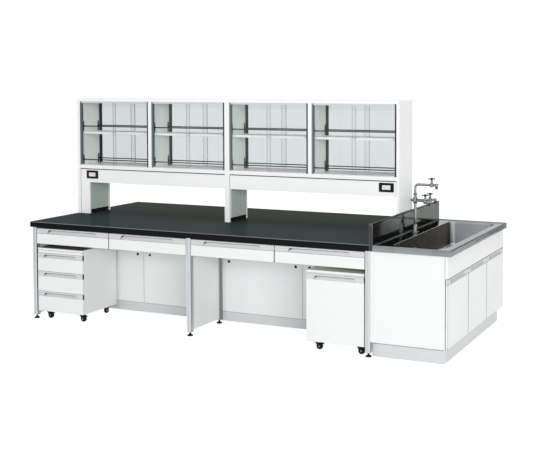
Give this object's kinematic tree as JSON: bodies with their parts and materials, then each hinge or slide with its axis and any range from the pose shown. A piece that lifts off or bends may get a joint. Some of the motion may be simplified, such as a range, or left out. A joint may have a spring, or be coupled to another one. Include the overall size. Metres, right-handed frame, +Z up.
{
  "type": "lab bench with reagent shelf",
  "caption": "Double-sided laboratory island bench with drawers, mobile wagons, a glazed reagent shelf along its middle and a stainless sink unit at one end.",
  "frame": {"origin": "on the floor, under the middle of the whole bench", "axes": "+X along the bench towards the sink, +Y from the front to the back, +Z up"},
  "size_m": [3.6, 1.5, 1.8],
  "materials": {
    "worktop_laminate": "charcoal laminate, satin",
    "white_board": "white melamine board, satin",
    "frame_profile": "silver grey coating, satin",
    "stainless": "brushed stainless sheet",
    "chrome": "polished",
    "caster_metal": "zinc plated pressing",
    "caster_tread": "grey rubber",
    "trap_plastic": "moulded",
    "glass": "clear float glass, ground edges"
  },
  "bodies": {
    "bench": {"worktop_front": "worktop_laminate", "worktop_back": "worktop_laminate", "leg_frames_front": "frame_profile", "leg_frames_back": "frame_profile", "service_core": "white_board", "sink_cabinet": "white_board", "sink_top": "stainless", "waste_trap": "trap_plastic", "faucet_column": "chrome", "shelf_unit_left": "white_board", "shelf_unit_right": "white_board"},
    "bench_drawer_front_1": {"bench_drawer_front_1": "white_board"},
    "bench_drawer_front_2": {"bench_drawer_front_2": "white_board"},
    "bench_drawer_front_3": {"bench_drawer_front_3": "white_board"},
    "bench_drawer_front_4": {"bench_drawer_front_4": "white_board"},
    "bench_drawer_back_1": {"bench_drawer_back_1": "white_board"},
    "bench_drawer_back_2": {"bench_drawer_back_2": "white_board"},
    "bench_drawer_back_3": {"bench_drawer_back_3": "white_board"},
    "bench_drawer_back_4": {"bench_drawer_back_4": "white_board"},
    "drawer_wagon": {"drawer_wagon_body": "white_board"},
    "drawer_wagon_caster_fork_left": {"drawer_wagon_caster_fork_left": "caster_metal"},
    "drawer_wagon_wheel_front_left": {"drawer_wagon_wheel_front_left": "caster_tread"},
    "drawer_wagon_wheel_rear_left": {"drawer_wagon_wheel_rear_left": "caster_tread"},
    "drawer_wagon_caster_fork_right": {"drawer_wagon_caster_fork_right": "caster_metal"},
    "drawer_wagon_wheel_front_right": {"drawer_wagon_wheel_front_right": "caster_tread"},
    "drawer_wagon_wheel_rear_right": {"drawer_wagon_wheel_rear_right": "caster_tread"},
    "door_wagon": {"door_wagon_body": "white_board"},
    "door_wagon_caster_fork_left": {"door_wagon_caster_fork_left": "caster_metal"},
    "door_wagon_wheel_front_left": {"door_wagon_wheel_front_left": "caster_tread"},
    "door_wagon_wheel_rear_left": {"door_wagon_wheel_rear_left": "caster_tread"},
    "door_wagon_caster_fork_right": {"door_wagon_caster_fork_right": "caster_metal"},
    "door_wagon_wheel_front_right": {"door_wagon_wheel_front_right": "caster_tread"},
    "door_wagon_wheel_rear_right": {"door_wagon_wheel_rear_right": "caster_tread"},
    "drawer_wagon_upper_drawer": {"drawer_wagon_upper_drawer": "white_board"},
    "drawer_wagon_middle_drawer": {"drawer_wagon_middle_drawer": "white_board"},
    "drawer_wagon_lower_drawer": {"drawer_wagon_lower_drawer": "white_board"},
    "door_wagon_door": {"door_wagon_door": "white_board"},
    "sink_door_1": {"sink_door_1": "white_board"},
    "sink_door_2": {"sink_door_2": "white_board"},
    "sink_door_3": {"sink_door_3": "white_board"},
    "faucet_handle_front": {"faucet_handle_front": "chrome"},
    "faucet_handle_back": {"faucet_handle_back": "chrome"},
    "faucet_gooseneck": {"faucet_gooseneck": "chrome"},
    "faucet_handle_neck": {"faucet_handle_neck": "chrome"},
    "pane_front_1_left": {"pane_front_1_left": "glass"},
    "pane_front_1_right": {"pane_front_1_right": "glass"},
    "pane_front_2_left": {"pane_front_2_left": "glass"},
    "pane_front_2_right": {"pane_front_2_right": "glass"},
    "pane_front_3_left": {"pane_front_3_left": "glass"},
    "pane_front_3_right": {"pane_front_3_right": "glass"},
    "pane_front_4_left": {"pane_front_4_left": "glass"},
    "pane_front_4_right": {"pane_front_4_right": "glass"},
    "pane_back_1_left": {"pane_back_1_left": "glass"},
    "pane_back_1_right": {"pane_back_1_right": "glass"},
    "pane_back_2_left": {"pane_back_2_left": "glass"},
    "pane_back_2_right": {"pane_back_2_right": "glass"},
    "pane_back_3_left": {"pane_back_3_left": "glass"},
    "pane_back_3_right": {"pane_back_3_right": "glass"},
    "pane_back_4_left": {"pane_back_4_left": "glass"},
    "pane_back_4_right": {"pane_back_4_right": "glass"}
  },
  "joints": [
    {"name": "bench_drawer_front_1_slide", "type": "slide", "parent": "bench", "child": "bench_drawer_front_1", "axis": [0, -1, 0], "range_m": [0, 0.35]},
    {"name": "bench_drawer_front_2_slide", "type": "slide", "parent": "bench", "child": "bench_drawer_front_2", "axis": [0, -1, 0], "range_m": [0, 0.35]},
    {"name": "bench_drawer_front_3_slide", "type": "slide", "parent": "bench", "child": "bench_drawer_front_3", "axis": [0, -1, 0], "range_m": [0, 0.35]},
    {"name": "bench_drawer_front_4_slide", "type": "slide", "parent": "bench", "child": "bench_drawer_front_4", "axis": [0, -1, 0], "range_m": [0, 0.35]},
    {"name": "bench_drawer_back_1_slide", "type": "slide", "parent": "bench", "child": "bench_drawer_back_1", "axis": [0, 1, 0], "range_m": [0, 0.35]},
    {"name": "bench_drawer_back_2_slide", "type": "slide", "parent": "bench", "child": "bench_drawer_back_2", "axis": [0, 1, 0], "range_m": [0, 0.35]},
    {"name": "bench_drawer_back_3_slide", "type": "slide", "parent": "bench", "child": "bench_drawer_back_3", "axis": [0, 1, 0], "range_m": [0, 0.35]},
    {"name": "bench_drawer_back_4_slide", "type": "slide", "parent": "bench", "child": "bench_drawer_back_4", "axis": [0, 1, 0], "range_m": [0, 0.35]},
    {"name": "drawer_wagon_roll", "type": "slide", "parent": "bench", "child": "drawer_wagon", "axis": [0, -1, 0], "range_m": [0, 0.6]},
    {"name": "drawer_wagon_caster_fork_left_swivel", "type": "hinge", "parent": "drawer_wagon", "child": "drawer_wagon_caster_fork_left", "pos_m": [-1.677, -0.675, 0.068], "axis": [0, 0, 1], "continuous": true},
    {"name": "drawer_wagon_wheel_front_left_spin", "type": "hinge", "parent": "drawer_wagon_caster_fork_left", "child": "drawer_wagon_wheel_front_left", "pos_m": [-1.657, -0.675, 0.025], "axis": [0, 1, 0], "continuous": true},
    {"name": "drawer_wagon_wheel_rear_left_spin", "type": "hinge", "parent": "drawer_wagon", "child": "drawer_wagon_wheel_rear_left", "pos_m": [-1.677, -0.3517, 0.025], "axis": [1, 0, 0], "continuous": true},
    {"name": "drawer_wagon_caster_fork_right_swivel", "type": "hinge", "parent": "drawer_wagon", "child": "drawer_wagon_caster_fork_right", "pos_m": [-1.347, -0.675, 0.068], "axis": [0, 0, 1], "continuous": true},
    {"name": "drawer_wagon_wheel_front_right_spin", "type": "hinge", "parent": "drawer_wagon_caster_fork_right", "child": "drawer_wagon_wheel_front_right", "pos_m": [-1.327, -0.675, 0.025], "axis": [0, 1, 0], "continuous": true},
    {"name": "drawer_wagon_wheel_rear_right_spin", "type": "hinge", "parent": "drawer_wagon", "child": "drawer_wagon_wheel_rear_right", "pos_m": [-1.347, -0.3517, 0.025], "axis": [1, 0, 0], "continuous": true},
    {"name": "door_wagon_roll", "type": "slide", "parent": "bench", "child": "door_wagon", "axis": [0, -1, 0], "range_m": [0, 0.6]},
    {"name": "door_wagon_caster_fork_left_swivel", "type": "hinge", "parent": "door_wagon", "child": "door_wagon_caster_fork_left", "pos_m": [0.765, -0.675, 0.068], "axis": [0, 0, 1], "continuous": true},
    {"name": "door_wagon_wheel_front_left_spin", "type": "hinge", "parent": "door_wagon_caster_fork_left", "child": "door_wagon_wheel_front_left", "pos_m": [0.785, -0.675, 0.025], "axis": [0, 1, 0], "continuous": true},
    {"name": "door_wagon_wheel_rear_left_spin", "type": "hinge", "parent": "door_wagon", "child": "door_wagon_wheel_rear_left", "pos_m": [0.765, -0.3517, 0.025], "axis": [1, 0, 0], "continuous": true},
    {"name": "door_wagon_caster_fork_right_swivel", "type": "hinge", "parent": "door_wagon", "child": "door_wagon_caster_fork_right", "pos_m": [1.095, -0.675, 0.068], "axis": [0, 0, 1], "continuous": true},
    {"name": "door_wagon_wheel_front_right_spin", "type": "hinge", "parent": "door_wagon_caster_fork_right", "child": "door_wagon_wheel_front_right", "pos_m": [1.115, -0.675, 0.025], "axis": [0, 1, 0], "continuous": true},
    {"name": "door_wagon_wheel_rear_right_spin", "type": "hinge", "parent": "door_wagon", "child": "door_wagon_wheel_rear_right", "pos_m": [1.095, -0.3517, 0.025], "axis": [1, 0, 0], "continuous": true},
    {"name": "drawer_wagon_upper_drawer_slide", "type": "slide", "parent": "drawer_wagon", "child": "drawer_wagon_upper_drawer", "axis": [0, -1, 0], "range_m": [0, 0.33]},
    {"name": "drawer_wagon_middle_drawer_slide", "type": "slide", "parent": "drawer_wagon", "child": "drawer_wagon_middle_drawer", "axis": [0, -1, 0], "range_m": [0, 0.33]},
    {"name": "drawer_wagon_lower_drawer_slide", "type": "slide", "parent": "drawer_wagon", "child": "drawer_wagon_lower_drawer", "axis": [0, -1, 0], "range_m": [0, 0.33]},
    {"name": "door_wagon_door_hinge", "type": "hinge", "parent": "door_wagon", "child": "door_wagon_door", "pos_m": [1.155, -0.735, 0.3], "axis": [0, 0, 1], "range_deg": [0, 100]},
    {"name": "sink_door_1_hinge", "type": "hinge", "parent": "bench", "child": "sink_door_1", "pos_m": [1.775, -0.739, 0.35], "axis": [0, 0, -1], "range_deg": [0, 100]},
    {"name": "sink_door_2_hinge", "type": "hinge", "parent": "bench", "child": "sink_door_2", "pos_m": [1.775, -0.24567, 0.35], "axis": [0, 0, -1], "range_deg": [0, 100]},
    {"name": "sink_door_3_hinge", "type": "hinge", "parent": "bench", "child": "sink_door_3", "pos_m": [1.775, 0.739, 0.35], "axis": [0, 0, 1], "range_deg": [0, 100]},
    {"name": "faucet_handle_front_hinge", "type": "hinge", "parent": "bench", "child": "faucet_handle_front", "pos_m": [1.37746, -0.058, 1.0613], "axis": [0, 0, 1], "range_deg": [0, 90]},
    {"name": "faucet_handle_back_hinge", "type": "hinge", "parent": "bench", "child": "faucet_handle_back", "pos_m": [1.37746, 0.058, 1.0613], "axis": [0, 0, 1], "range_deg": [0, 90]},
    {"name": "faucet_gooseneck_hinge", "type": "hinge", "parent": "bench", "child": "faucet_gooseneck", "pos_m": [1.277, 0, 1.1193], "axis": [0, 0, 1], "range_deg": [-90, 90]},
    {"name": "faucet_handle_neck_hinge", "type": "hinge", "parent": "faucet_gooseneck", "child": "faucet_handle_neck", "pos_m": [1.409, 0, 1.1603], "axis": [0, 0, 1], "range_deg": [0, 90]},
    {"name": "pane_front_1_left_slide", "type": "slide", "parent": "bench", "child": "pane_front_1_left", "axis": [1, 0, 0], "range_m": [0, 0.3215]},
    {"name": "pane_front_1_right_slide", "type": "slide", "parent": "bench", "child": "pane_front_1_right", "axis": [-1, 0, 0], "range_m": [0, 0.3215]},
    {"name": "pane_front_2_left_slide", "type": "slide", "parent": "bench", "child": "pane_front_2_left", "axis": [1, 0, 0], "range_m": [0, 0.3215]},
    {"name": "pane_front_2_right_slide", "type": "slide", "parent": "bench", "child": "pane_front_2_right", "axis": [-1, 0, 0], "range_m": [0, 0.3215]},
    {"name": "pane_front_3_left_slide", "type": "slide", "parent": "bench", "child": "pane_front_3_left", "axis": [1, 0, 0], "range_m": [0, 0.3215]},
    {"name": "pane_front_3_right_slide", "type": "slide", "parent": "bench", "child": "pane_front_3_right", "axis": [-1, 0, 0], "range_m": [0, 0.3215]},
    {"name": "pane_front_4_left_slide", "type": "slide", "parent": "bench", "child": "pane_front_4_left", "axis": [1, 0, 0], "range_m": [0, 0.3215]},
    {"name": "pane_front_4_right_slide", "type": "slide", "parent": "bench", "child": "pane_front_4_right", "axis": [-1, 0, 0], "range_m": [0, 0.3215]},
    {"name": "pane_back_1_left_slide", "type": "slide", "parent": "bench", "child": "pane_back_1_left", "axis": [1, 0, 0], "range_m": [0, 0.3215]},
    {"name": "pane_back_1_right_slide", "type": "slide", "parent": "bench", "child": "pane_back_1_right", "axis": [-1, 0, 0], "range_m": [0, 0.3215]},
    {"name": "pane_back_2_left_slide", "type": "slide", "parent": "bench", "child": "pane_back_2_left", "axis": [1, 0, 0], "range_m": [0, 0.3215]},
    {"name": "pane_back_2_right_slide", "type": "slide", "parent": "bench", "child": "pane_back_2_right", "axis": [-1, 0, 0], "range_m": [0, 0.3215]},
    {"name": "pane_back_3_left_slide", "type": "slide", "parent": "bench", "child": "pane_back_3_left", "axis": [1, 0, 0], "range_m": [0, 0.3215]},
    {"name": "pane_back_3_right_slide", "type": "slide", "parent": "bench", "child": "pane_back_3_right", "axis": [-1, 0, 0], "range_m": [0, 0.3215]},
    {"name": "pane_back_4_left_slide", "type": "slide", "parent": "bench", "child": "pane_back_4_left", "axis": [1, 0, 0], "range_m": [0, 0.3215]},
    {"name": "pane_back_4_right_slide", "type": "slide", "parent": "bench", "child": "pane_back_4_right", "axis": [-1, 0, 0], "range_m": [0, 0.3215]}
  ]
}
